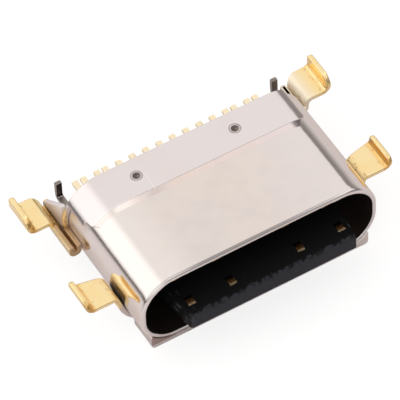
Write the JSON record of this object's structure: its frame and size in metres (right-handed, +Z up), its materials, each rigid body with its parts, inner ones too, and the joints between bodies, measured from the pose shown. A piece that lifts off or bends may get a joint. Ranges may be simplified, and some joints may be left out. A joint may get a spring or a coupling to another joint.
{
  "type": "mid-mount charging port",
  "caption": "Small mid-mount charging port with an oval steel mouth, a protruding black contact tongue, gold-plated solder wings and a row of rear tails",
  "frame": {"origin": "under the middle of the part's box, on the plane of the tray's underside", "axes": "+X across the mouth, +Y from the mouth to the rear tails, +Z up, away from the tray"},
  "size_m": [0.0114, 0.007, 0.0033],
  "materials": {
    "tube_steel": "satin nickel plate",
    "shell_steel": "satin nickel plate, gold-plated wings",
    "insulator": "matte black moulded",
    "plate_steel": "dark plated",
    "contact_gold": "gold plate"
  },
  "bodies": {
    "root": {"inner_shell": "tube_steel", "outer_shell": "shell_steel", "housing": "insulator", "upper_carrier": "insulator", "lower_carrier": "insulator", "mid_plate": "plate_steel", "upper_contact_1": "contact_gold", "upper_contact_2": "contact_gold", "upper_contact_3": "contact_gold", "upper_contact_4": "contact_gold", "upper_contact_5": "contact_gold", "upper_contact_6": "contact_gold", "upper_contact_7": "contact_gold", "upper_contact_8": "contact_gold", "lower_contact_1": "contact_gold", "lower_contact_2": "contact_gold", "lower_contact_3": "contact_gold", "lower_contact_4": "contact_gold", "lower_contact_5": "contact_gold", "lower_contact_6": "contact_gold", "lower_contact_7": "contact_gold", "lower_contact_8": "contact_gold"}
  },
  "joints": []
}
